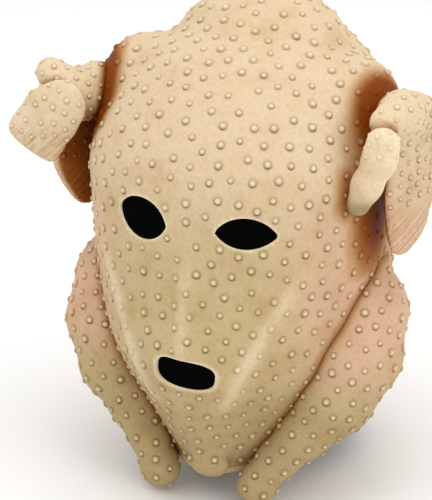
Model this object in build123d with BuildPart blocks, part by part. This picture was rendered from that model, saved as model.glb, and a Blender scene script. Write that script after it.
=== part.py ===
"""Rubber chicken mask: a hollow cast-latex hood shaped like a plucked, dressed chicken.

Frame: millimetres, +Z up, the face looks along -Y and the wearer's left side is +X. The origin is
the middle of the neck opening, in the plane of the shell's lower rim.
"""

from build123d import *
import numpy as np
import os

# ------------------------------------------------------------------ driving dimensions
SHELL_WALL = 2.2  # cast latex wall of the body
LIMB_WALL = 2.0  # cast latex wall of legs and wings
LIMB_GAP = 0.8  # running clearance between a limb and the shell

SHOULDER_HEIGHT = 177.0  # where the dome of the skull starts
DOME_RISE = 88.0  # from the shoulder height to the dome's top
DOME_FULLNESS = 2.0  # exponent of the dome's profile, 2 is an ellipse
DOME_LEAN = 28.0  # how far the dome's top leans back
DOME_STEPS = (22, 42, 58, 70, 79)  # degrees up the dome's profile
BACK_FULLNESS = 2.15  # exponent of the rounded back

# Height above the rim, half width, front, back, widest point, fullness of the front. A fullness
# near 1.4 gives the keeled breast, and one over 2 a broad forehead.
BODY_STATIONS = (
    (0, 65, -77, 90, 14, 1.4),
    (34, 73, -97, 95, 4, 1.5),
    (71, 82, -114, 98, -6, 1.75),
    (119, 88, -107, 99, -14, 2.0),
    (SHOULDER_HEIGHT, 91, -100, 96, -20, 2.15),
)
TRACE_POINTS = 721  # fine steps round a horizontal section, to space its spline's points evenly
OUTLINE_POINTS = 28  # points of that spline

# The neck stump, gathered on top of the dome: height, half width, half depth
STUMP_SECTIONS = ((238, 50, 44), (258, 47, 40), (270, 38, 32), (276, 24, 20))
STUMP_BACK = 17.0  # its middle behind the origin

HEM_DEPTH = 4.0  # rolled bead under the rim
HEM_PROUD = 0.8  # how far the bead stands out of the shell on each side
HEM_ROUND = 1.0

# Eye holes: middle x and height, width, rise above and drop below the corners, and how much
# higher the corner nearer the left is than the middle
LEFT_EYE = (33.0, 163.5, 35.6, 10.5, 8.5, -0.7)
RIGHT_EYE = (-31.0, 166.6, 33.6, 11.5, 13.5, -3.2)
MOUTH_MIDDLE = (1.3, 78.0)
MOUTH_WIDTH = 37.5
MOUTH_DROP = 18.5
MOUTH_TILT = -6.0
PRISM_REACH = 160.0  # longer than the shell is deep on either side of the origin

GAUZE_THICKNESS = 1.2
GAUZE_MARGIN = 7.0  # how far the gauze laps round a hole
PATCH_THICKNESS = 1.5
LEG_PATCH_RADIUS = 34.0
LEG_PATCH_Y = -18.0
LEG_PATCH_HEIGHT = 96.0
WING_PATCH_RADIUS = 22.0

# Tail nub under the breast: height, y, half width, half depth
NUB_SECTIONS = ((13, -83, 12, 5), (6, -82, 14, 5), (-3, -80, 8, 3.5))

# Left leg, hip to hock: x, y, z, half width outwards, half depth
LEG_SECTIONS = (
    (85, -8, 126, 8, 8),
    (84, -12, 114, 17, 22),
    (83, -20, 96, 22.5, 31),
    (81, -34, 71, 26, 34),
    (72, -45, 46, 23, 28),
    (57, -52, 23, 17.5, 20),
    (42, -61, 6, 13, 14),
    (34, -67, -5, 11.5, 12),
)
HOCK_KNOB = (31.0, -70.0, -8.0, 13.0)  # x, y, z, radius

# Left elbow, shoulder to cap: balls as x, y, z, radius. The shoulder ball is the living hinge.
ELBOW_BALLS = ((92.3, -18, 220, 9), (100, -28, 226, 12), (106, -36, 230, 12.5))
# Outer lobes, top to bottom: height, x, y, half thickness, half width, turn.
# The left one turns its outer face forwards, the right one its inner face.
LEFT_FOREARM = (
    (226, 104, -28, 7.5, 15, 14),
    (205, 107, -24, 8.0, 20, 18),
    (180, 107, -22, 7.5, 22, 20),
    (155, 104.5, -19, 6.5, 20, 20),
    (134, 101, -17, 4.5, 12, 20),
)
RIGHT_FOREARM = (
    (226, 107, -20, 8.0, 21, -14),
    (205, 108, -16, 8.5, 25, -16),
    (180, 108, -13, 7.5, 26, -16),
    (155, 105, -10, 6.5, 23, -16),
    (134, 100, -8, 4.5, 14, -16),
)
# Front lobes, top to bottom in the same terms: narrow on the left wing, broad on the right
NARROW_TIP = (
    (220, 101, -56, 6.5, 9, -60),
    (205, 97, -60, 7.0, 10.5, -72),
    (188, 93, -63, 6.0, 10, -78),
    (172, 89, -64, 4.0, 6.5, -80),
)
BROAD_TIP = (
    (220, 104, -57, 7.0, 11, -72),
    (208, 110, -61, 7.5, 17, -76),
    (196, 116, -63, 6.5, 18, -78),
    (186, 118, -64, 5.0, 14, -80),
    (178, 114, -65, 3.5, 7, -80),
)


def signed_power(values, exponent):
    return np.sign(values) * np.abs(values) ** exponent


def body_outline(station, inset, scale=1.0, lean=0.0):
    """Points evenly round one horizontal section: a superellipse with its own front and back."""
    _, half_width, front, back, widest, fullness = station
    turns = np.linspace(0, 2 * np.pi, TRACE_POINTS)
    in_front = np.sin(turns) < 0
    power = 2 / np.where(in_front, fullness, BACK_FULLNESS)
    reach = np.where(in_front, widest - front, back - widest) * scale - inset
    x = (half_width * scale - inset) * signed_power(np.cos(turns), power)
    y = widest + lean + reach * signed_power(np.sin(turns), power)
    walked = np.concatenate([[0], np.cumsum(np.hypot(np.diff(x), np.diff(y)))])
    stops = np.linspace(0, walked[-1], OUTLINE_POINTS, endpoint=False)
    return list(zip(np.interp(stops, walked, x), np.interp(stops, walked, y)))


def body_sections(inset=0.0):
    """Every section of the body as (height, outline points), rim to the top of the dome."""
    sections = [(station[0], body_outline(station, inset)) for station in BODY_STATIONS]
    shoulder = BODY_STATIONS[-1]
    for degrees in DOME_STEPS:
        rise = Vector(1, 0).rotate(Axis.Z, degrees).Y
        scale = (1 - rise**DOME_FULLNESS) ** (1 / DOME_FULLNESS)
        height = SHOULDER_HEIGHT + (DOME_RISE - inset) * rise
        sections.append((height, body_outline(shoulder, inset * scale, scale, DOME_LEAN * rise**1.5)))
    return sections


def body_solid(inset=0.0):
    """The filled body and neck stump, drawn in by the inset all over."""
    with BuildPart() as body:
        for height, points in body_sections(inset):
            with BuildSketch(Plane.XY.offset(height)):
                with BuildLine():
                    Spline(points, periodic=True)
                make_face()
        loft()
        for height, half_width, half_depth in STUMP_SECTIONS:
            with BuildSketch(Plane.XY.offset(height - inset)):
                with Locations((0, STUMP_BACK)):
                    Ellipse(half_width - inset, half_depth - inset)
        loft()
    return body.part


def eye_prism(eye, margin=0.0):
    """A prism along Y through the face, of two arcs that meet in corners."""
    middle, height, width, rise, drop, slope = eye
    to_left = (middle + width / 2 + margin, height + slope)
    to_right = (middle - width / 2 - margin, height - slope)
    with BuildPart() as prism:
        with BuildSketch(Plane.XZ):
            with BuildLine():
                ThreePointArc(to_right, (middle, height + rise + margin), to_left)
                ThreePointArc(to_left, (middle, height - drop - margin), to_right)
            make_face()
        extrude(amount=PRISM_REACH)
    return prism.part


def mouth_prism(margin=0.0):
    """A prism along Y through the front of the face, round-ended and tilted."""
    with BuildPart() as prism:
        with BuildSketch(Plane.XZ):
            with Locations(MOUTH_MIDDLE):
                SlotOverall(MOUTH_WIDTH + 2 * margin, MOUTH_DROP + 2 * margin, rotation=MOUTH_TILT)
        extrude(amount=PRISM_REACH)
    return prism.part


def lining(prism, thickness):
    """A layer on the shell's inner face, as wide as the prism that cuts it out."""
    with BuildPart() as layer:
        add(body_solid(SHELL_WALL))
        add(body_solid(SHELL_WALL + thickness), mode=Mode.SUBTRACT)
        add(prism, mode=Mode.INTERSECT)
    return layer.part


def side_drum(y, z, radius, side):
    """A drum along X through one side of the body, 1 for the left and -1 for the right."""
    with BuildPart() as drum:
        with BuildSketch(Plane.YZ):
            with Locations((y, z)):
                Circle(radius)
        extrude(amount=side * PRISM_REACH)
    return drum.part


def rim_prism(top, bottom, outset):
    """The filled outline of the rim, stretched between two heights."""
    with BuildPart() as prism:
        with BuildSketch(Plane.XY.offset(bottom)):
            with BuildLine():
                Spline(body_outline(BODY_STATIONS[0], -outset), periodic=True)
            make_face()
        extrude(amount=top - bottom)
    return prism.part


def lobe(sections, inset=0.0):
    """A hanging lobe: ellipses stacked down Z, each turned about Z, drawn in all over."""
    middle = (sections[0][0] + sections[-1][0]) / 2
    squeeze = 1 - 2 * inset / (sections[0][0] - sections[-1][0])
    with BuildPart() as stack:
        for height, x, y, thickness, width, turn in sections:
            with BuildSketch(Plane.XY.offset(middle + (height - middle) * squeeze)):
                with Locations((x, y)):
                    Ellipse(thickness - inset, width - inset, rotation=-turn)
        loft()
    return stack.part


def ball(place, inset=0.0):
    *centre, radius = place
    with BuildPart() as sphere:
        with Locations(tuple(centre)):
            Sphere(radius - inset)
    return sphere.part


def elbow():
    """The elbow: balls along a short arm, each pair bridged by a cone."""
    with BuildPart() as arm:
        for place in ELBOW_BALLS:
            add(ball(place))
        for start, end in zip(ELBOW_BALLS, ELBOW_BALLS[1:]):
            way = Vector(*end[:3]) - Vector(*start[:3])
            for place in (start, end):
                with BuildSketch(Plane(origin=place[:3], z_dir=way)):
                    Circle(place[3])
            loft()
    return arm.part


def forearm(sections):
    """The core of an outer lobe and the skin round it, both cut clear of the elbow."""
    with BuildPart() as core:
        add(lobe(sections, LIMB_WALL))
        add(elbow(), mode=Mode.SUBTRACT)
    with BuildPart() as skin:
        add(lobe(sections))
        add(elbow(), mode=Mode.SUBTRACT)
        add(core.part, mode=Mode.SUBTRACT)
    return core.part, skin.part


def leg_solid(inset=0.0):
    """Thigh, drumstick and hock knob as one smooth loft, cut clear of the body and the hem."""
    centres = [Vector(*section[:3]) for section in LEG_SECTIONS]
    with BuildPart() as leg:
        for index, (_, _, _, outwards, depth) in enumerate(LEG_SECTIONS):
            before = centres[max(index - 1, 0)]
            after = centres[min(index + 1, len(centres) - 1)]
            plane = Plane(origin=centres[index], x_dir=(1, 0, 0), z_dir=after - before)
            with BuildSketch(plane):
                Ellipse(outwards - inset, depth - inset)
        loft()
        add(ball(HOCK_KNOB, inset))
        add(body_solid(-LIMB_GAP - inset), mode=Mode.SUBTRACT)
        add(rim_prism(0, -HEM_DEPTH * 6, HEM_PROUD + LIMB_GAP + inset), mode=Mode.SUBTRACT)
    return leg.part


def keep(name, shape):
    """Label one finished piece and write it out."""
    shape.label = name
    export_step(shape, f"parts/{name}.step")


os.makedirs("parts", exist_ok=True)

# ------------------------------------------------------------------ body
with BuildPart() as head_shell:
    add(body_solid())
    add(body_solid(SHELL_WALL), mode=Mode.SUBTRACT)
    for eye in (LEFT_EYE, RIGHT_EYE):
        add(eye_prism(eye), mode=Mode.SUBTRACT)
    add(mouth_prism(), mode=Mode.SUBTRACT)
keep("head_shell", head_shell.part)

with BuildPart() as neck_hem:
    add(rim_prism(0, -HEM_DEPTH, HEM_PROUD))
    add(rim_prism(0, -HEM_DEPTH, -SHELL_WALL - HEM_PROUD), mode=Mode.SUBTRACT)
    fillet(neck_hem.edges().group_by(Axis.Z)[0], radius=HEM_ROUND)
keep("neck_hem", neck_hem.part)

with BuildPart() as tail_nub:
    for height, y, half_width, half_depth in NUB_SECTIONS:
        with BuildSketch(Plane.XY.offset(height)):
            with Locations((0, y)):
                Ellipse(half_width, half_depth)
    loft()
    add(body_solid(), mode=Mode.SUBTRACT)
    add(rim_prism(0, -HEM_DEPTH * 3, HEM_PROUD), mode=Mode.SUBTRACT)
keep("tail_nub", tail_nub.part)

keep("left_eye_gauze", lining(eye_prism(LEFT_EYE, GAUZE_MARGIN), GAUZE_THICKNESS))
keep("right_eye_gauze", lining(eye_prism(RIGHT_EYE, GAUZE_MARGIN), GAUZE_THICKNESS))
keep("mouth_gauze", lining(mouth_prism(GAUZE_MARGIN), GAUZE_THICKNESS))

# ------------------------------------------------------------------ limbs
with BuildPart() as leg:
    add(leg_solid())
    add(leg_solid(LIMB_WALL), mode=Mode.SUBTRACT)

paired = {"leg": leg.part, "leg_core": leg_solid(LIMB_WALL), "wing_arm": elbow()}
for name, left_piece in paired.items():
    keep(f"left_{name}", left_piece)
    keep(f"right_{name}", mirror(left_piece, about=Plane.YZ))

left_core, left_forearm = forearm(LEFT_FOREARM)
keep("left_wing_core", left_core)
keep("left_wing_forearm", left_forearm)
right_core, right_forearm = forearm(RIGHT_FOREARM)
keep("right_wing_core", mirror(right_core, about=Plane.YZ))
keep("right_wing_forearm", mirror(right_forearm, about=Plane.YZ))
keep("left_wing_tip", lobe(NARROW_TIP))
keep("right_wing_tip", mirror(lobe(BROAD_TIP), about=Plane.YZ))

# ------------------------------------------------------------------ bonding patches in the shell
SHOULDER_Y, SHOULDER_Z = ELBOW_BALLS[0][1:3]
for side, name in ((1, "left"), (-1, "right")):
    leg_drum = side_drum(LEG_PATCH_Y, LEG_PATCH_HEIGHT, LEG_PATCH_RADIUS, side)
    keep(f"{name}_leg_patch", lining(leg_drum, PATCH_THICKNESS))
    wing_drum = side_drum(SHOULDER_Y, SHOULDER_Z, WING_PATCH_RADIUS, side)
    keep(f"{name}_wing_patch", lining(wing_drum, PATCH_THICKNESS))
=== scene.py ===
"""Looks for the rubber chicken mask: painted, goose-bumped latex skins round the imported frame.

Every skin is the zero surface of a signed distance worked out in millimetres in the frame's own
axes. Its triangles are refined at the goose bumps, raised, painted point by point and brought in
as metres.
"""

import math

import bpy
import numpy as np
import openvdb
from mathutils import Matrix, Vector
from mathutils.kdtree import KDTree


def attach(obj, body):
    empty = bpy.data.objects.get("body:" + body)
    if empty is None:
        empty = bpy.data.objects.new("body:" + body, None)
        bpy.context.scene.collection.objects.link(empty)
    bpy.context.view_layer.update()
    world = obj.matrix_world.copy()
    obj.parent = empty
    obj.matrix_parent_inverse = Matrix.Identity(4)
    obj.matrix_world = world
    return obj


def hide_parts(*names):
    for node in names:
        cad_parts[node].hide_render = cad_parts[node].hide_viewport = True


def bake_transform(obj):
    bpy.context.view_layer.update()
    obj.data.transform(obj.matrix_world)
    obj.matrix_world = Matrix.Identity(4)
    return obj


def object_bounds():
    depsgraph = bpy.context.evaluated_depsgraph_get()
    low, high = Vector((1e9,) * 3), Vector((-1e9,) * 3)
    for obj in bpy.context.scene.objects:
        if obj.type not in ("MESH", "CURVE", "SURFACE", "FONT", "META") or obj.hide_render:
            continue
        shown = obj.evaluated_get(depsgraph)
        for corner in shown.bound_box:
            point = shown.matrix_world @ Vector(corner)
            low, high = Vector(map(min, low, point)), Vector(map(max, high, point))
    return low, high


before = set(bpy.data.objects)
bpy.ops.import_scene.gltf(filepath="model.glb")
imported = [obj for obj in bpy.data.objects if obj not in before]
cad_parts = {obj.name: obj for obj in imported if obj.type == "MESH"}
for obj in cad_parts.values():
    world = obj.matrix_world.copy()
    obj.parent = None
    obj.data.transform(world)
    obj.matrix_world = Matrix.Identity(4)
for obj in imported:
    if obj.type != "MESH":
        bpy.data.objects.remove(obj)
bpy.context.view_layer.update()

MM = 0.001  # metres in a millimetre
FARTHEST = 25  # how far from a surface its distance is followed

# ------------------------------------------------------------------ sizes in millimetres, and seeds
WALL = 2.2  # from the outer skin to the lining
SHOULDER_HEIGHT = 177.0
DOME_RISE = 88.0
DOME_FULLNESS = 2.0
DOME_LEAN = 28.0
BACK_FULLNESS = 2.15
# Height, half width, front and back in y, y of the widest point, fullness of the front
STATIONS = np.array(
    [
        (0, 65, -77, 90, 14, 1.4),
        (34, 73, -97, 95, 4, 1.5),
        (71, 82, -114, 98, -6, 1.75),
        (119, 88, -107, 99, -14, 2.0),
        (SHOULDER_HEIGHT, 91, -100, 96, -20, 2.15),
    ]
)
# Middle x and height, width, rise, drop, how much higher the corner on the left is than the middle
LEFT_EYE = (33.0, 163.5, 35.6, 10.5, 8.5, -0.7)
RIGHT_EYE = (-31.0, 166.6, 33.6, 11.5, 13.5, -3.2)
MOUTH = (1.3, 78.0, 37.5, 18.5, -6.0)  # middle x and height, width, drop, tilt in degrees

MOUTH_SQUARENESS = 3.2
BEHIND_FACE = 50.0  # what stands for the distance to a hole on the back of the head

# Middle and half sizes of each lump
NECK_STUMP = ((0, 17, 250), (49, 40, 26))
SHOULDER_HUMP = ((70, -6, 212), (24, 32, 34))
TAIL_NUB = ((4, -81, 6), (13, 5, 9))
STUMP_FILLET = 9
HUMP_FILLET = 14
NUB_FILLET = 5
NUB_KEPT = 1.5  # how far round the nub the body's surface is kept below the rim

# Lines on the muzzle: breadth, rise, heights over which the foot fades in and the top fades out
KEEL = (4.5, 1.9, (84, 94), (152, 128))
CHEEK = (5, 1.7, (44, 60), (146, 122))
TROUGH = (7, -1.1, (84, 98), (160, 130))
KEEL_X = -1.5
TROUGH_X = -1
TROUGH_OUT = 12
CHEEK_OUT = 24
CHEEK_FOOT = 58
CHEEK_SPLAY = 0.47

BUMP_RADIUS = 1.95
BUMP_HEIGHT = 1.2
BUMP_SPACING = 11.2
BUMP_SIZES = (0.82, 1.14)  # from least to most, over the usual size
BUMP_RING_STRENGTHS = (0.6, 1.0)  # from the faintest to the strongest brown ring
REFINED_REACHES = (1.9, 1.25)  # bump radii within which triangles are split, one round for each
MOAT_DEPTH = 0.16

# Balls along each limb, as x, y, z and radius on the left side
LEG_BALLS = (
    (80, -14, 118, 14),
    (82, -20, 96, 24),
    (80, -33, 71, 27),
    (71, -44, 46, 23),
    (55, -53, 24, 16),
    (43, -62, 9, 12),
    (35, -68, -2, 11),
)
HOCK_KNOB = (32, -71, -8, 12.6)
LEG_FILLET = 6
KNOB_FILLET = 4
LEG_DEPTH = 1.16  # depth of the leg over its width
LEG_SCALE = 1.05  # brings a distance measured along the squeezed depth back to size, on average
ARM_BALLS = {
    "left": (
        (82, -15, 214, 11),
        (92, -19, 220, 10),
        (108, -20, 223, 11),
        (105, -36, 228, 12),
        (100, -49, 225, 9.5),
    ),
    "right": (
        (82, -15, 214, 12),
        (92, -23, 217, 13),
        (97, -40, 214, 14),
        (106, -44, 222, 11),
        (112, -46, 229, 9),
    ),
}
ARM_FILLET = 5

# The flat lobes of the wings: middle x and y on the left side, and how far each turns in degrees
LOBE_PLACE = {"left": (107, -22, -19), "right": (107, -14, 16)}
# Balls along the lobes, as offset across, offset along, height and radius before they are squeezed
LOBE_BALLS = {
    "left": (
        (0, -4, 214, 15),
        (0, -1, 200, 20),
        (0, 0, 176, 22),
        (-3, -1, 158, 18),
        (-7, -3, 147, 11),
    ),
    "right": (
        (0, -8, 206, 19),
        (0, -2, 194, 24),
        (0, 0, 172, 25),
        (-4, 2, 156, 19),
        (-8, 2, 148, 12),
    ),
}
LOBE_FLATNESS = 3.1
LOBE_FILLET = 6
ELBOW_FILLET = 9
NARROW_BALLS = ((0, -1, 216, 10), (0, 1, 206, 9.5), (0, 8, 190, 8.5), (0, 13, 178, 7))
BROAD_BALLS = ((0, -5, 215, 15), (0, 3, 207, 17), (0, 13, 193, 17), (0, 17, 183, 16))
# Middle x and y of the front lobe, its turn, flatness and fillet
NARROW_PLACE = ((101, -60), 90, 1.5, 5)
BROAD_PLACE = ((-103, -60), 90, 2.5, 6)
# The square end of the broad lobe: a place on it in x and z, the way it faces, and its rounding
BROAD_END = ((-119.5, 184.5), (-0.51, -0.86), 5)

LIMB_SINK = 0.35  # how deep a limb's skin runs into the body's
LIMB_EDGE = 0.8  # rounding where it does

# Corners of the box that holds each limb on the left side, and its grid step
LIMB_BOXES = {
    "leg": ((14, -106, -27), (116, 26, 147), 1.7),
    "arm": ((76, -56, 126), (136, 26, 248), 1.35),
    "tip": ((80, -88, 158), (142, -36, 236), 1.2),
}
BODY_BOX = ((-104, -126, -12), (104, 110, 284))
BODY_STEP = 2.3
LINING_BOX = ((-104, -126, -14), (104, 110, 284))
LINING_STEP = 3.5

SIDES = {"left": 1, "right": -1}
SEEDS = {"body": 7, "leg": 21, "arm": 34, "tip": 55}


# ------------------------------------------------------------------ distances
def along_height(z, column):
    """A station value at any height, on a smooth curve through the stations."""
    heights = STATIONS[:, 0]
    values = STATIONS[:, column]
    slopes = np.gradient(values, heights)
    z = np.clip(z, heights[0], heights[-1])
    index = np.clip(np.searchsorted(heights, z) - 1, 0, len(heights) - 2)
    span = heights[index + 1] - heights[index]
    t = (z - heights[index]) / span
    start = values[index] * (1 + 2 * t) * (1 - t) ** 2 + slopes[index] * span * t * (1 - t) ** 2
    end = values[index + 1] * t**2 * (3 - 2 * t) + slopes[index + 1] * span * t**2 * (t - 1)
    return start + end


def body_shape(x, y, z):
    """Under 0 inside the chicken's body, rising outwards, without its lumps."""
    half, front, back, widest, fullness = (along_height(z, k) for k in range(1, 6))
    rise = np.clip((z - SHOULDER_HEIGHT) / DOME_RISE, 0, 2)
    behind = y - widest - DOME_LEAN * np.clip(rise, 0, 1) ** 1.5
    reach = np.where(behind < 0, widest - front, back - widest)
    power = np.where(behind < 0, fullness, BACK_FULLNESS)
    across = (np.abs(x) / half) ** power + (np.abs(behind) / reach) ** power
    return (across ** (DOME_FULLNESS / power) + rise**DOME_FULLNESS) ** (1 / DOME_FULLNESS) - 1


def ellipsoid(x, y, z, centre, radii):
    """Roughly the distance to an ellipsoid."""
    scaled = [(q - c) / r for q, c, r in zip((x, y, z), centre, radii)]
    near = np.sqrt(sum(q**2 for q in scaled))
    slope = np.sqrt(sum((q / r) ** 2 for q, r in zip(scaled, radii)))
    return near * (near - 1) / np.maximum(slope, 1e-6)


def merge(first, second, width):
    """The union of two distances, with a fillet of that width."""
    h = np.clip(0.5 + 0.5 * (second - first) / width, 0, 1)
    return second + (first - second) * h - width * h * (1 - h)


def as_distance(values, step):
    """Scales values on a grid to rise by one per millimetre near their zero surface."""
    slope = np.sqrt(sum(g**2 for g in np.gradient(values, step)))
    return np.clip(values / np.maximum(slope, 1e-4), -FARTHEST, FARTHEST)


def smooth(value, start, end):
    """0 at start, 1 at end, smoothly."""
    t = np.clip((value - start) / (end - start), 0, 1)
    return t * t * (3 - 2 * t)


def band(value, middle, breadth):
    """1 in the middle of a soft band, falling towards 0 on both sides."""
    return np.exp(-(((value - middle) / breadth) ** 2))


def chain(x, y, z, balls, fillet):
    """Balls, each x, y, z and radius, bridged by round cones."""
    shape = None
    for start, end in zip(balls, balls[1:]):
        way = np.subtract(end[:3], start[:3]).astype(float)
        t = ((x - start[0]) * way[0] + (y - start[1]) * way[1] + (z - start[2]) * way[2]) / (way @ way)
        t = np.clip(t, 0, 1)
        gap = np.sqrt(
            (x - start[0] - t * way[0]) ** 2
            + (y - start[1] - t * way[1]) ** 2
            + (z - start[2] - t * way[2]) ** 2
        )
        cone = gap - (start[3] + t * (end[3] - start[3]))
        shape = cone if shape is None else merge(shape, cone, fillet)
    return shape


class Field:
    """A distance sampled on a regular grid, in millimetres."""

    def __init__(self, shape, low, high, step):
        self.low = np.array(low, float)
        self.step = step
        axes = [np.arange(a, b + step, step) for a, b in zip(low, high)]
        x, y, z = np.meshgrid(*axes, indexing="ij")
        self.values = shape(x, y, z)

    def sample(self, points):
        """The distance at points inside the grid, straight between its corners."""
        place = (points - self.low) / self.step
        top = np.array(self.values.shape) - 2
        cell = np.clip(place.astype(int), 0, top)
        t = np.clip(place - cell, 0, 1)
        total = np.zeros(len(points))
        for i in (0, 1):
            for j in (0, 1):
                for k in (0, 1):
                    weight = np.ones(len(points))
                    for axis, corner in enumerate((i, j, k)):
                        weight = weight * (t[:, axis] if corner else 1 - t[:, axis])
                    total += weight * self.values[cell[:, 0] + i, cell[:, 1] + j, cell[:, 2] + k]
        return total

    def normals(self, points):
        """The outward way from the surface at each point."""
        reach = np.eye(3) * self.step
        slope = np.stack([self.sample(points + d) - self.sample(points - d) for d in reach], 1)
        return slope / np.maximum(np.linalg.norm(slope, axis=1, keepdims=True), 1e-9)

    def settle(self, points, rounds=3):
        """Moves points onto the surface."""
        for _ in range(rounds):
            points = points - self.normals(points) * self.sample(points)[:, None]
        return points

    def triangles(self):
        """Points and triangles of the surface."""
        grid = openvdb.FloatGrid(float(self.values.max()))
        grid.copyFromArray(self.values.astype(np.float32))
        points, quads = grid.convertToQuads(isovalue=0.0)
        points = points * self.step + self.low
        quads = quads.astype(int)
        tris = np.concatenate([quads[:, [0, 1, 2]], quads[:, [0, 2, 3]]])
        return self.settle(points.astype(float)), tris


# ------------------------------------------------------------------ triangle work
LEAST_CUT = 0.05  # points nearer the cut than this are kept, so that no sliver is left
FIRST_GAP = 0.86  # least gap between bumps before they are pushed apart, over their spacing
PUSH_ROUNDS = 8
PUSH_SHARE = 0.3  # how much of its missing gap a bump makes up in one round
NEIGHBOURS = 6  # how many of the nearest bumps push on one


def edge_pairs(tris):
    """Every triangle's directed edges: all the edges 01, then all 12, then all 20."""
    return np.concatenate([tris[:, [0, 1]], tris[:, [1, 2]], tris[:, [2, 0]]])


def edge_table(tris):
    """Each unique edge, and for each triangle the numbers of its edges 01, 12 and 20."""
    edges, number = np.unique(np.sort(edge_pairs(tris), axis=1), axis=0, return_inverse=True)
    return edges, number.reshape(3, -1).T


def refine(points, tris, marked):
    """Splits each marked triangle in four, and its neighbours to match."""
    edges, number = edge_table(tris)
    split = np.zeros(len(edges), bool)
    split[number[marked].ravel()] = True
    middle = np.full(len(edges), -1)
    middle[split] = len(points) + np.arange(split.sum())
    points = np.concatenate([points, points[edges[split]].mean(1)])
    cut = split[number]
    result = [tris[~cut.any(1)]]
    whole = cut.all(1)
    a, b, c = tris[whole].T
    ab, bc, ca = middle[number[whole]].T
    for corners in ((a, ab, ca), (ab, b, bc), (ca, bc, c), (ab, bc, ca)):
        result.append(np.stack(corners, 1))
    for turn in range(3):
        order = np.roll([0, 1, 2], -turn)
        flags = cut[:, order]
        one = flags[:, 0] & ~flags[:, 1] & ~flags[:, 2]
        a, b, c = tris[one][:, order].T
        ab = middle[number[one][:, order[0]]]
        result += [np.stack([a, ab, c], 1), np.stack([ab, b, c], 1)]
        two = flags[:, 0] & flags[:, 1] & ~flags[:, 2]
        a, b, c = tris[two][:, order].T
        ab, bc = middle[number[two][:, order[:2]]].T
        result += [np.stack(t, 1) for t in ((ab, b, bc), (a, ab, bc), (a, bc, c))]
    return points, np.concatenate(result)


def clip(points, tris, values):
    """Keeps the part of the surface where the values are over 0, cut clean along their zero line."""
    values = np.where(np.abs(values) < LEAST_CUT, LEAST_CUT, values)
    edges, number = edge_table(tris)
    ends = values[edges]
    crossed = (ends[:, 0] > 0) != (ends[:, 1] > 0)
    share = ends[crossed, 0] / (ends[crossed, 0] - ends[crossed, 1])
    first, second = points[edges[crossed, 0]], points[edges[crossed, 1]]
    on_line = np.full(len(edges), -1)
    on_line[crossed] = len(points) + np.arange(crossed.sum())
    points = np.concatenate([points, first + (second - first) * share[:, None]])
    inside = values[tris] > 0
    result = [tris[inside.all(1)]]
    for turn in range(3):
        order = np.roll([0, 1, 2], -turn)
        flags = inside[:, order]
        one = flags[:, 0] & ~flags[:, 1] & ~flags[:, 2]
        a = tris[one][:, order[0]]
        ab, _, ca = on_line[number[one][:, order]].T
        result.append(np.stack([a, ab, ca], 1))
        two = flags[:, 0] & flags[:, 1] & ~flags[:, 2]
        a, b, _ = tris[two][:, order].T
        _, bc, ca = on_line[number[two][:, order]].T
        result += [np.stack([a, b, bc], 1), np.stack([a, bc, ca], 1)]
    return tidy(points, np.concatenate(result))


def tidy(points, tris):
    """Drops the points that no triangle uses."""
    used, tris = np.unique(tris, return_inverse=True)
    return points[used], tris.reshape(-1, 3)


def tree_of(centres):
    """A search tree over places."""
    tree = KDTree(len(centres))
    for number, centre in enumerate(centres):
        tree.insert(centre, number)
    tree.balance()
    return tree


def nearest(points, centres):
    """For each point, the distance to the nearest centre and that centre's number."""
    tree = tree_of(centres)
    found = [tree.find(p) for p in points]
    return np.array([f[2] for f in found]), np.array([f[1] for f in found])


def scatter(field, points, allowed, spacing, seed):
    """Bump centres over the surface, pushed apart until they lie about evenly."""
    rng = np.random.default_rng(seed)
    order = rng.permutation(np.flatnonzero(allowed(points)))
    cells = {}
    chosen = []
    reach = spacing * FIRST_GAP
    for number in order:
        p = points[number]
        key = tuple((p // reach).astype(int))
        near = [
            q
            for dx in (-1, 0, 1)
            for dy in (-1, 0, 1)
            for dz in (-1, 0, 1)
            for q in cells.get((key[0] + dx, key[1] + dy, key[2] + dz), ())
        ]
        if all((p - q) @ (p - q) > reach**2 for q in near):
            cells.setdefault(key, []).append(p)
            chosen.append(p)
    centres = np.array(chosen)
    for _ in range(PUSH_ROUNDS):
        tree = tree_of(centres)
        push = np.zeros_like(centres)
        for number, centre in enumerate(centres):
            for other, _, gap in tree.find_n(centre, NEIGHBOURS + 1)[1:]:
                if gap < spacing:
                    away = (centre - np.array(other)) / max(gap, 1e-3)
                    push[number] += away * (spacing - gap) * PUSH_SHARE
        moved = field.settle(centres + push, 2)
        stays = allowed(moved)
        centres = np.where(stays[:, None], moved, centres)
    return centres


# ------------------------------------------------------------------ shapes
def muzzle_line(offset, z, line):
    """Strength of a line on the muzzle, at an offset across it."""
    breadth, _, foot, top = line
    return band(offset, 0, breadth) * smooth(z, *foot) * smooth(z, *top)


def ridge_lines(x, z):
    """Strength of the keel down the muzzle and of the ridge down each cheek."""
    keel = muzzle_line(x - KEEL_X, z, KEEL)
    crest = CHEEK_OUT + (z - CHEEK_FOOT) * CHEEK_SPLAY
    return keel, muzzle_line(np.abs(x) - crest, z, CHEEK)


def body_distance(x, y, z, step):
    """The body with its neck stump, shoulder humps and muzzle."""
    shape = as_distance(body_shape(x, y, z), step)
    shape = merge(shape, ellipsoid(x, y, z, *NECK_STUMP), STUMP_FILLET)
    (out, *rest), radii = SHOULDER_HUMP
    for side in SIDES.values():
        shape = merge(shape, ellipsoid(x, y, z, (side * out, *rest), radii), HUMP_FILLET)
    keel, cheeks = ridge_lines(x, z)
    troughs = muzzle_line(np.abs(x - TROUGH_X) - TROUGH_OUT, z, TROUGH)
    return shape - np.where(y < 0, KEEL[1] * keel + CHEEK[1] * cheeks + TROUGH[1] * troughs, 0)


def nub_distance(x, y, z):
    """The little tail nub under the breast."""
    return ellipsoid(x, y, z, *TAIL_NUB)


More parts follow.
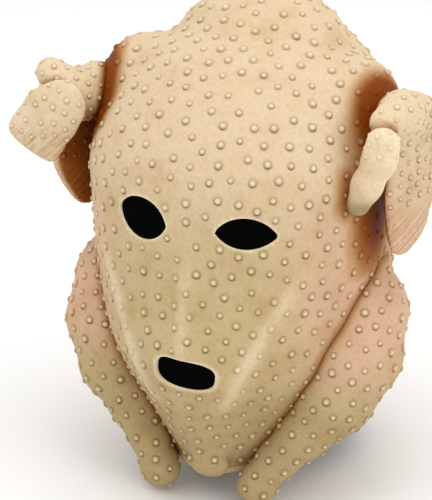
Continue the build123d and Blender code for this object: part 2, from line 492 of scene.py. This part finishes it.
def body_with_nub(x, y, z):
    """The whole outside of the body, on the body's own grid."""
    return merge(body_distance(x, y, z, BODY_STEP), nub_distance(x, y, z), NUB_FILLET)


def under_body_skin(x, y, z):
    """The body's inside face, on the lining's grid."""
    return body_distance(x, y, z, LINING_STEP) + WALL


def leg_distance(x, y, z, side):
    """Thigh, drumstick and knob, a little deeper than they are wide."""
    balls = [(side * a, b / LEG_DEPTH, c, r) for a, b, c, r in LEG_BALLS]
    shape = chain(x, y / LEG_DEPTH, z, balls, LEG_FILLET) * LEG_SCALE
    out, *rest, radius = HOCK_KNOB
    knob = ellipsoid(x, y, z, (side * out, *rest), (radius, radius, radius))
    return merge(shape, knob, KNOB_FILLET)


def flat_chain(x, y, z, middle, turn, flatness, fillet, balls):
    """A chain of balls squeezed flat along one level direction, turned in degrees."""
    angle = math.radians(turn)
    dx, dy = x - middle[0], y - middle[1]
    across = (dx * math.cos(angle) + dy * math.sin(angle)) * flatness
    along = dy * math.cos(angle) - dx * math.sin(angle)
    return chain(across, along, z, balls, fillet)


def outside_body(shape, x, y, z, step):
    """The part of a shape that stands outside the body, sunk a hair into its skin."""
    return -merge(-shape, body_distance(x, y, z, step) + LIMB_SINK, LIMB_EDGE)


def arm_distance(x, y, z, side, step):
    """Shoulder, elbow and the flat outer lobe that hangs from it."""
    name = "left" if side > 0 else "right"
    arm_balls = [(side * a, b, c, r) for a, b, c, r in ARM_BALLS[name]]
    lobe_balls = [(side * a, b, c, r) for a, b, c, r in LOBE_BALLS[name]]
    out, forward, turn = LOBE_PLACE[name]
    middle = (side * out, forward)
    arm = chain(x, y, z, arm_balls, ARM_FILLET)
    lobe = flat_chain(x, y, z, middle, side * turn, LOBE_FLATNESS, LOBE_FILLET, lobe_balls)
    return merge(arm, as_distance(lobe, step), ELBOW_FILLET)


def tip_distance(x, y, z, side, step):
    """The front lobe: narrow and rounded on the left wing, broad and cut square on the right."""
    if side > 0:
        return as_distance(flat_chain(x, y, z, *NARROW_PLACE, NARROW_BALLS), step)
    lobe = as_distance(flat_chain(x, y, z, *BROAD_PLACE, BROAD_BALLS), step)
    (cut_x, cut_z), (way_x, way_z), rounding = BROAD_END
    past_end = (x - cut_x) * way_x + (z - cut_z) * way_z
    return -merge(-lobe, -past_end, rounding)


def limb_field(part, side):
    """The field of a limb part on one side. Legs and arms stop at the body's skin."""
    low, high, step = LIMB_BOXES[part]
    if side < 0:
        low, high = (-high[0], *low[1:]), (-low[0], *high[1:])

    def shape(x, y, z):
        if part == "tip":
            return tip_distance(x, y, z, side, step)
        if part == "arm":
            limb = arm_distance(x, y, z, side, step)
        else:
            limb = leg_distance(x, y, z, side)
        return outside_body(limb, x, y, z, step)

    return Field(shape, low, high, step)


# ------------------------------------------------------------------ holes
def circle_through(a, b, c):
    """Centre and radius of the circle through three points on the face."""
    (ax, ay), (bx, by), (cx, cy) = a, b, c
    twice = 2 * (ax * (by - cy) + bx * (cy - ay) + cx * (ay - by))
    sa, sb, sc = ax**2 + ay**2, bx**2 + by**2, cx**2 + cy**2
    ux = (sa * (by - cy) + sb * (cy - ay) + sc * (ay - by)) / twice
    uy = (sa * (cx - bx) + sb * (ax - cx) + sc * (bx - ax)) / twice
    return ux, uy, math.hypot(ax - ux, ay - uy)


def outside_eye(points, eye):
    """Distance outside an almond eye hole, seen along Y."""
    middle, height, width, rise, drop, slope = eye
    left, right = (middle + width / 2, height + slope), (middle - width / 2, height - slope)
    gaps = []
    for apex in ((middle, height + rise), (middle, height - drop)):
        cx, cz, radius = circle_through(left, apex, right)
        gaps.append(np.hypot(points[:, 0] - cx, points[:, 2] - cz) - radius)
    return np.where(points[:, 1] > 0, BEHIND_FACE, np.maximum(*gaps))


def outside_mouth(points):
    """Distance outside the mouth hole, seen along Y."""
    middle, height, width, drop, tilt = MOUTH
    angle = math.radians(tilt)
    dx, dz = points[:, 0] - middle, points[:, 2] - height
    along = np.abs(dx * math.cos(angle) + dz * math.sin(angle)) / (width / 2)
    up = np.abs(dz * math.cos(angle) - dx * math.sin(angle)) / (drop / 2)
    power = MOUTH_SQUARENESS
    value = ((along**power + up**power) ** (1 / power) - 1) * drop / 2
    return np.where(points[:, 1] > 0, BEHIND_FACE, value)


def outside_holes(points):
    """Distance to the nearest hole in the face."""
    gaps = [outside_eye(points, LEFT_EYE), outside_eye(points, RIGHT_EYE), outside_mouth(points)]
    return np.minimum.reduce(gaps)


# ------------------------------------------------------------------ paint
def srgb(red, green, blue):
    """A colour from 0 to 255 as linear values."""
    values = np.array([red, green, blue]) / 255
    return np.where(values < 0.04045, values / 12.92, ((values + 0.055) / 1.055) ** 2.4)


CREAM = srgb(220, 197, 164)
MIDDLE = srgb(196, 175, 132)
LOW = srgb(178, 157, 114)
BLUSH = srgb(218, 178, 152)
PALE = srgb(242, 226, 196)
# brown wash round the bumps, also painted shadow on their lower side
WASH_AND_SHADOW = srgb(76, 46, 18)
BROWN = srgb(174, 124, 60)
RUST = srgb(142, 72, 4)
# painted shade at the very bottom of the creases
CREASE_SHADE = srgb(92, 34, 2)
MOSS = srgb(138, 134, 100)
RAW = srgb(240, 226, 196)
HEM = srgb(206, 184, 142)

# Heights over which one colour gives way to the next: darker lower down, partly the paint's own olive
# tone and partly painted shade from light falling from above
LOW_TO_MIDDLE = (10, 110)
MIDDLE_TO_CREAM = (120, 215)
# The pink flanks: distance out over which they come in, and heights of their foot and top
FLANK_OUT = (38, 86)
FLANK_FOOT = (40, 90)
FLANK_TOP = (200, 150)
# Rings round a goose bump: middle and breadth over the bump's radius
MOAT_RING = (1.25, 0.3)
WASH_AND_SHADOW_RING = (1.08, 0.27)


def mix(first, second, share):
    """Colours moved from the first towards the second, by a share for each point."""
    return first + (second - first) * np.clip(share, 0, 1)[:, None]


def bump_profile(gap, size):
    """Height of a goose bump at a distance from its middle: a blunt dome in a faint moat."""
    r = gap / (BUMP_RADIUS * size)
    dome = np.clip(1 - np.minimum(r, 1) ** 2.2, 0, 1) ** 0.9
    return (BUMP_HEIGHT * dome - MOAT_DEPTH * band(r, *MOAT_RING)) * size


def paint_bumps(colour, gap, size, toward_bottom, strength):
    """Pale tops, partly dry-brushed paint and partly painted highlight, and a brown wash ring round
    each bump, heavier on its lower side as painted shadow.
    """
    r = gap / (BUMP_RADIUS * size)
    # the brown ring is the wash; its extra weight on the bump's lower side is painted shadow
    ring = band(r, *WASH_AND_SHADOW_RING) * (0.45 + 0.55 * np.clip(toward_bottom, 0, 1))
    colour = mix(colour, WASH_AND_SHADOW, ring * strength)
    # pale top of each bump: partly dry-brushed paint, partly painted highlight
    return mix(colour, PALE, smooth(r, 0.85, 0.3) * 0.6)


def add_mesh(name, points, tris, colour=None):
    """A smooth-shaded mesh object from millimetre points, with its paint."""
    mesh = bpy.data.meshes.new(name)
    mesh.from_pydata((points * MM).tolist(), [], tris.tolist())
    mesh.polygons.foreach_set("use_smooth", [True] * len(mesh.polygons))
    if colour is not None:
        layer = mesh.color_attributes.new("Paint", "FLOAT_COLOR", "POINT")
        rgba = np.concatenate([colour, np.ones((len(colour), 1))], 1)
        layer.data.foreach_set("color", rgba.astype(np.float32).ravel())
    mesh.update()
    piece = bpy.data.objects.new(name, mesh)
    bpy.context.scene.collection.objects.link(piece)
    return piece


def bumpy(field, points, tris, allowed, seed, spacing=BUMP_SPACING, size=1.0):
    """Scatters goose bumps, refines the surface to carry them, and tells each point its own."""
    rng = np.random.default_rng(seed)
    centres = scatter(field, points, allowed, spacing, seed)
    sizes = size * rng.uniform(*BUMP_SIZES, len(centres))
    ring_strengths = rng.uniform(*BUMP_RING_STRENGTHS, len(centres))
    for reach in REFINED_REACHES:
        gap, _ = nearest(points, centres)
        points, tris = refine(points, tris, (gap[tris] < BUMP_RADIUS * size * reach).any(1))
    points = field.settle(points, 2)
    gap, owner = nearest(points, centres)
    below = (centres[owner] - points)[:, 2] / np.maximum(gap, 0.2)
    bumps = {"gap": gap, "size": sizes[owner], "below": below, "ring_strength": ring_strengths[owner]}
    return points, tris, bumps


def raise_bumps(field, points, bumps):
    """Points lifted off the surface by the bumps on them."""
    height = bump_profile(bumps["gap"], bumps["size"])
    return points + field.normals(points) * height[:, None]


def skin_colour(points, crease, bumps):
    """Paint of the skin: cream above, darker and greener below partly as painted shade, pink flanks,
    brown creases with painted shade at their bottom.

    A crease value runs from 0 on open skin to 1 in the deepest hollow.
    """
    height = points[:, 2]
    colour = mix(np.tile(LOW, (len(points), 1)), MIDDLE, smooth(height, *LOW_TO_MIDDLE))
    colour = mix(colour, CREAM, smooth(height, *MIDDLE_TO_CREAM))
    flank = smooth(np.abs(points[:, 0]), *FLANK_OUT)
    flank = flank * smooth(height, *FLANK_FOOT) * smooth(height, *FLANK_TOP)
    colour = mix(colour, BLUSH, flank * 0.75)
    colour = mix(colour, BROWN, smooth(crease, 0.05, 0.75) * 0.75)
    colour = paint_bumps(colour, bumps["gap"], bumps["size"], bumps["below"], bumps["ring_strength"])
    colour = mix(colour, RUST, smooth(crease, 0.55, 1.0))
    # the bottom of each crease darkened further: painted shade
    return mix(colour, CREASE_SHADE, smooth(crease, 0.88, 1.0) * 0.3)


# ------------------------------------------------------------------ materials
def node_material(name):
    """A material with its principled shader, as (material, nodes, links, shader)."""
    material = bpy.data.materials.new(name)
    material.use_nodes = True
    nodes = material.node_tree.nodes
    return material, nodes, material.node_tree.links, nodes["Principled BSDF"]


def noise(nodes, links, scale, detail, roughness=0.5):
    """Noise in the object's own metres."""
    place = nodes.new("ShaderNodeTexCoord")
    texture = nodes.new("ShaderNodeTexNoise")
    texture.inputs["Scale"].default_value = scale
    texture.inputs["Detail"].default_value = detail
    texture.inputs["Roughness"].default_value = roughness
    links.new(place.outputs["Object"], texture.inputs["Vector"])
    return texture.outputs["Fac"]


def ramp(nodes, links, value, stops):
    """A colour ramp on a value, from (place, colour) stops."""
    band = nodes.new("ShaderNodeValToRGB")
    band.color_ramp.elements[0].position = stops[0][0]
    band.color_ramp.elements[0].color = (*stops[0][1], 1)
    band.color_ramp.elements[1].position = stops[-1][0]
    band.color_ramp.elements[1].color = (*stops[-1][1], 1)
    for place, colour in stops[1:-1]:
        band.color_ramp.elements.new(place).color = (*colour, 1)
    links.new(value, band.inputs["Fac"])
    return band.outputs["Color"]


def tinted(nodes, links, first, second, share):
    """The first colour multiplied by the second, by a fixed share."""
    blend = nodes.new("ShaderNodeMix")
    blend.data_type = "RGBA"
    blend.blend_type = "MULTIPLY"
    blend.inputs["Factor"].default_value = share
    links.new(first, blend.inputs["A"])
    links.new(second, blend.inputs["B"])
    return blend.outputs["Result"]


def bumped(nodes, links, shader, layers):
    """Stacks bump nodes, each (height value, distance in metres, strength), on a shader."""
    under = None
    for height, distance, strength in layers:
        bump = nodes.new("ShaderNodeBump")
        bump.inputs["Distance"].default_value = distance
        bump.inputs["Strength"].default_value = strength
        links.new(height, bump.inputs["Height"])
        if under is not None:
            links.new(under, bump.inputs["Normal"])
        under = bump.outputs["Normal"]
    links.new(under, shader.inputs["Normal"])


def latex_material(name, colour=None, roughness=(0.48, 0.68)):
    """Painted latex: the vertex paint, or a plain colour, mottled, stippled and finely creased."""
    material, nodes, links, shader = node_material(name)
    if colour is None:
        paint = nodes.new("ShaderNodeAttribute")
        paint.attribute_name = "Paint"
        base = paint.outputs["Color"]
    else:
        paint = nodes.new("ShaderNodeRGB")
        paint.outputs[0].default_value = (*colour, 1)
        base = paint.outputs[0]
    blotch = noise(nodes, links, scale=38, detail=3, roughness=0.55)
    speck = noise(nodes, links, scale=420, detail=4, roughness=0.6)
    wash_stops = [(0.32, (0.80, 0.70, 0.56)), (0.47, (0.95, 0.91, 0.86)), (0.62, (1, 1, 1))]
    grain_stops = [(0.3, (0.86, 0.80, 0.70)), (0.6, (1, 1, 1))]
    mixed = tinted(nodes, links, base, ramp(nodes, links, blotch, wash_stops), share=0.55)
    mixed = tinted(nodes, links, mixed, ramp(nodes, links, speck, grain_stops), share=0.6)
    links.new(mixed, shader.inputs["Base Color"])
    sheen = nodes.new("ShaderNodeMapRange")
    sheen.inputs["To Min"].default_value = roughness[0]
    sheen.inputs["To Max"].default_value = roughness[1]
    links.new(noise(nodes, links, scale=150, detail=3), sheen.inputs["Value"])
    links.new(sheen.outputs["Result"], shader.inputs["Roughness"])
    shader.inputs["Specular IOR Level"].default_value = 0.09
    shader.inputs["Subsurface Weight"].default_value = 0.04
    shader.inputs["Subsurface Scale"].default_value = 0.002
    shader.inputs["Subsurface Radius"].default_value = (1.0, 0.5, 0.3)
    wrinkle = noise(nodes, links, scale=160, detail=5, roughness=0.65)
    pore = noise(nodes, links, scale=1100, detail=2)
    bumped(nodes, links, shader, [(wrinkle, 0.0009, 0.45), (pore, 0.00025, 0.5)])
    return material


def gauze_and_shade_material():
    """Dull black gauze with a fine square weave, so near pure black that it also stands in as painted
    shade for the dark inside of the head.
    """
    material, nodes, links, shader = node_material("black gauze and painted shade")
    place = nodes.new("ShaderNodeTexCoord")
    threads = []
    for direction in ("X", "Z"):
        wave = nodes.new("ShaderNodeTexWave")
        wave.bands_direction = direction
        wave.inputs["Scale"].default_value = 400
        links.new(place.outputs["Object"], wave.inputs["Vector"])
        threads.append(wave.outputs["Fac"])
    weave = nodes.new("ShaderNodeMath")
    weave.operation = "MAXIMUM"
    links.new(threads[0], weave.inputs[0])
    links.new(threads[1], weave.inputs[1])
    stops = [(0.3, (0.0, 0.0, 0.0)), (0.9, (0.002, 0.002, 0.002))]
    shade = ramp(nodes, links, weave.outputs[0], stops)
    links.new(shade, shader.inputs["Base Color"])
    shader.inputs["Roughness"].default_value = 0.95
    shader.inputs["Specular IOR Level"].default_value = 0.02
    bumped(nodes, links, shader, [(weave.outputs[0], 0.0003, 0.5)])
    return material


def foam_material():
    """Open-celled cream polyfoam."""
    material, nodes, links, shader = node_material("foam core")
    place = nodes.new("ShaderNodeTexCoord")
    cells = nodes.new("ShaderNodeTexVoronoi")
    cells.inputs["Scale"].default_value = 900
    links.new(place.outputs["Object"], cells.inputs["Vector"])
    stops = [(0.1, (0.45, 0.36, 0.16)), (0.6, (0.78, 0.68, 0.42))]
    shade = ramp(nodes, links, cells.outputs["Distance"], stops)
    links.new(shade, shader.inputs["Base Color"])
    shader.inputs["Roughness"].default_value = 0.9
    bumped(nodes, links, shader, [(cells.outputs["Distance"], 0.0006, 0.7)])
    return material


# ------------------------------------------------------------------ body and its holes
WALL_LAP = 0.2  # how far the cut wall of a hole runs past the lining
# Brown crease paint beside the limbs, with painted shade at the bottom of each crease: how far from
# one it starts and is full, and how strong it gets
CREASE_PAINT_AND_SHADE = {"arm": (26, 7, 1.0), "tip": (16, 2, 0.8), "leg": (9, 0, 0.62)}
# How far goose bumps keep from holes, from the rim and from limbs
HOLE_ROOM = 4.2
RIM_ROOM = 5
LIMB_ROOM = 1.5


def free_edges(tris):
    """Directed edges that only one triangle has."""
    pairs = edge_pairs(tris)
    ordered = np.sort(pairs, axis=1)
    _, first, count = np.unique(ordered, axis=0, return_index=True, return_counts=True)
    return pairs[first[count == 1]]


def walled(points, tris, normals, colour):
    """Adds the cut wall under every free edge, hard-edged and in raw latex."""
    used, local = np.unique(free_edges(tris), return_inverse=True)
    local = local.reshape(-1, 2)
    top = points[used]
    bottom = top - normals[used] * (WALL + WALL_LAP)
    start = len(points)
    count = len(used)
    a, b = local[:, 0] + start, local[:, 1] + start
    upper = np.stack([b, a, a + count], 1)
    lower = np.stack([b, a + count, b + count], 1)
    raw = np.tile(RAW, (2 * count, 1))
    points = np.concatenate([points, top, bottom])
    return points, np.concatenate([tris, upper, lower]), np.concatenate([colour, raw])


def beyond(field, points):
    """Distance to a limb, roughly right outside its grid too."""
    high = field.low + field.step * (np.array(field.values.shape) - 1)
    outside = points - np.clip(points, field.low, high)
    return field.sample(points) + np.linalg.norm(outside, axis=1)


body = Field(body_with_nub, *BODY_BOX, BODY_STEP)
limbs = {(name, part): limb_field(part, side) for name, side in SIDES.items() for part in LIMB_BOXES}


def limb_distance(points, parts=tuple(LIMB_BOXES)):
    """Distance to the nearest limb of the given kinds."""
    return np.minimum.reduce([beyond(limbs[name, part], points) for name in SIDES for part in parts])


def crease_on_body(points):
    """How deep a body point lies in the brown hollows beside the limbs."""
    hollows = []
    for part, (start, full, strength) in CREASE_PAINT_AND_SHADE.items():
        hollows.append(smooth(limb_distance(points, (part,)), start, full) * strength)
    return np.maximum.reduce(hollows)


def bump_room(points):
    """Where the body has room for goose bumps."""
    off_holes = outside_holes(points) >= HOLE_ROOM
    return off_holes & (points[:, 2] > RIM_ROOM) & (limb_distance(points) > LIMB_ROOM)


def body_piece():
    """The outer skin of the body and tail nub, cut open at the neck, eyes and mouth."""
    points, tris = body.triangles()
    kept = np.maximum(points[:, 2], NUB_KEPT - nub_distance(*points.T))
    points, tris = clip(points, tris, kept)
    points, tris = clip(points, tris, outside_holes(points))
    points, tris, bumps = bumpy(body, points, tris, bump_room, SEEDS["body"])
    colour = skin_colour(points, crease_on_body(points), bumps)
    keel, cheeks = ridge_lines(points[:, 0], points[:, 2])
    # painted highlight along the keel and cheek ridges of the muzzle
    pale_share = np.where(points[:, 1] < -30, keel * 0.3 + cheeks * 0.45, 0)
    colour = mix(colour, PALE, pale_share)
    # a pale lip round each hole: partly raw latex at the cut, partly a painted highlight of the edge
    # catching light
    colour = mix(colour, RAW, smooth(outside_holes(points), 1.2, 0.2) * 0.7)
    normals = body.normals(points)
    points, tris, colour = walled(raise_bumps(body, points, bumps), tris, normals, colour)
    return add_mesh("body_skin", points, tris, colour)


def lining_piece():
    """The inside face of the cast skin."""
    points, tris = Field(under_body_skin, *LINING_BOX, LINING_STEP).triangles()
    points, tris = clip(points, tris, points[:, 2])
    points, tris = clip(points, tris, outside_holes(points))
    return add_mesh("body_lining", points, tris[:, ::-1])


body_skin = body_piece()
lining = lining_piece()

# ------------------------------------------------------------------ legs and wings
# Spacing and size of the goose bumps on each kind of limb
WING_BUMPS = (7.8, 0.8)
LEG_BUMPS = (BUMP_SPACING * 0.93, 1.0)
# Least distance of a limb's bumps from the body, and least height
CLEAR_OF_BODY = 2.8
LOWEST_BUMP = {
    "left": {"leg": -30, "arm": 172, "tip": 209},
    "right": {"leg": -30, "arm": 172, "tip": 194},
}
# Heights over which the quill lines come in, on the lobes that have them
QUILL_TOPS = {("left", "arm"): (174, 160), ("right", "arm"): (174, 160), ("right", "tip"): (205, 190)}
QUILL_HEIGHT = 0.22
MOSS_TOP = (184, 176)  # heights over which the narrow lobe's end turns green


def limb_crease(name, part, points, normals):
    """How deep a limb point lies in a brown hollow."""
    on_body = smooth(body.sample(points), 7, 0.5)
    if part == "leg":
        return on_body * 0.7
    if part == "tip":
        on_arm = smooth(beyond(limbs[name, "arm"], points), 4, 0)
        return np.maximum(on_body * 0.9, on_arm * 0.7)
    on_tip = smooth(beyond(limbs[name, "tip"], points), 7, 0)
    facing_in = smooth(-np.sign(points[:, 0]) * normals[:, 0], 0.1, 0.6)
    inner_face = facing_in * smooth(points[:, 2], 222, 200) * smooth(np.abs(points[:, 0]), 122, 108)
    return np.maximum.reduce([on_body * 0.9, on_tip * 0.8, inner_face * 0.92])


def quill_lines(points):
    """Wavy rows slanting across a lobe, from -1 between two quills to 1 on one."""
    rows = (points[:, 2] - points[:, 0] * 0.93 - points[:, 1] * 0.37) * 0.7
    return np.sin(rows * 2.4 + np.sin(rows * 0.9) * 1.3)


def limb_piece(name, part):
    """One painted, goose-bumped limb skin."""
    field = limbs[name, part]
    points, tris = field.triangles()
    flat = part != "leg"
    spacing, size = WING_BUMPS if flat else LEG_BUMPS
    seed = SEEDS[part] + (name == "left")

    def room(p):
        return (body.sample(p) > CLEAR_OF_BODY) & (p[:, 2] > LOWEST_BUMP[name][part])

    points, tris, bumps = bumpy(field, points, tris, room, seed, spacing, size)
    normals = field.normals(points)
    crease = limb_crease(name, part, points, normals)
    colour = skin_colour(points, crease, bumps)
    narrow = (name, part) == ("left", "tip")
    if flat:
        pale_share = smooth(body.sample(points), 10, 24) * (0.75 if narrow else 0.3)
        colour = mix(colour, PALE, pale_share * (1 - smooth(crease, 0.2, 0.6)))
    points = raise_bumps(field, points, bumps)
    if (name, part) in QUILL_TOPS:
        quills = quill_lines(points)
        strength = smooth(points[:, 2], *QUILL_TOPS[name, part])
        points = points + normals * (quills * strength * QUILL_HEIGHT)[:, None]
        colour = mix(colour, BROWN, smooth(-quills, 0.1, 1) * strength * 0.55)
    if narrow:
        colour = mix(colour, MOSS, smooth(points[:, 2], *MOSS_TOP) * 0.7)
    return add_mesh(f"{name}_{part}_skin", points, tris, colour)


skins = {key: limb_piece(*key) for key in limbs}

# ------------------------------------------------------------------ materials on pieces
skin_material = latex_material("painted latex")
raw_material = latex_material("raw latex", RAW, (0.55, 0.7))
hem_material = latex_material("latex hem", HEM, (0.45, 0.62))
# near pure black gauze, also standing in as painted shade for the inside of the head
gauze = gauze_and_shade_material()
foam = foam_material()
for piece in (body_skin, *skins.values()):
    piece.data.materials.append(skin_material)
lining.data.materials.append(raw_material)
for node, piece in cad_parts.items():
    if "gauze" in node:
        finish = gauze
    elif "core" in node:
        finish = foam
    else:
        finish = hem_material if node == "neck_hem" else raw_material
    piece.data.materials.clear()
    piece.data.materials.append(finish)

# ------------------------------------------------------------------ how pieces move
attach(body_skin, "mask")
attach(lining, "mask")
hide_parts("head_shell", "tail_nub")
for name, side in SIDES.items():
    leg, arm, tip = (skins[name, part] for part in LIMB_BOXES)
    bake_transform(leg)
    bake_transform(arm)
    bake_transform(tip)
    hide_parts(f"{name}_leg", f"{name}_leg_core")
    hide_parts(f"{name}_wing_arm", f"{name}_wing_forearm", f"{name}_wing_core")
    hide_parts(f"{name}_wing_tip")

# ------------------------------------------------------------------ floor, light and camera
FLOOR_SIZE = 12
FLOOR_GAP = 0.0005  # metres under the lowest point

low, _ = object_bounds()
bpy.ops.mesh.primitive_plane_add(size=FLOOR_SIZE, location=(0, 0, low.z - FLOOR_GAP))
floor = bpy.context.object
floor.name = "floor"
floor_material, _, _, shader = node_material("floor")
shader.inputs["Base Color"].default_value = (0.92, 0.92, 0.92, 1)
shader.inputs["Roughness"].default_value = 0.9
floor.data.materials.append(floor_material)

world = bpy.data.worlds.new("studio")
world.use_nodes = True
world.node_tree.nodes["Background"].inputs["Color"].default_value = (1, 1, 1, 1)
world.node_tree.nodes["Background"].inputs["Strength"].default_value = 1.0
bpy.context.scene.world = world


def soft_light(name, place, aim, size, power):
    """A square area light that points at a spot, in metres and watts."""
    lamp = bpy.data.lights.new(name, "AREA")
    lamp.size = size
    lamp.energy = power
    holder = bpy.data.objects.new(name, lamp)
    holder.location = place
    holder.rotation_euler = (Vector(aim) - Vector(place)).to_track_quat("-Z", "Y").to_euler()
    bpy.context.scene.collection.objects.link(holder)


MASK_MIDDLE = (0, 0, 0.12)
soft_light("top", (0.1, -0.25, 1.5), MASK_MIDDLE, size=0.7, power=4.5)
soft_light("right", (1.3, -0.5, 0.6), MASK_MIDDLE, size=0.8, power=2)

# Where the camera looks, the way from there to the camera, how far off it is in metres, its lens
TARGET = Vector((-0.0390, 0.0373, 0.0940))
TOWARDS = Vector((0.34733, -0.85967, 0.37461))
DISTANCE = 1.5
FOCAL_LENGTH = 168.75
SENSOR_WIDTH = 36

lens = bpy.data.cameras.new("camera")
lens.lens = FOCAL_LENGTH
lens.sensor_width = SENSOR_WIDTH
camera = bpy.data.objects.new("camera", lens)
camera.location = TARGET + TOWARDS * DISTANCE
camera.rotation_euler = (-TOWARDS).to_track_quat("-Z", "Y").to_euler()
bpy.context.scene.collection.objects.link(camera)
bpy.context.scene.camera = camera
bpy.context.scene.view_settings.view_transform = "Standard"
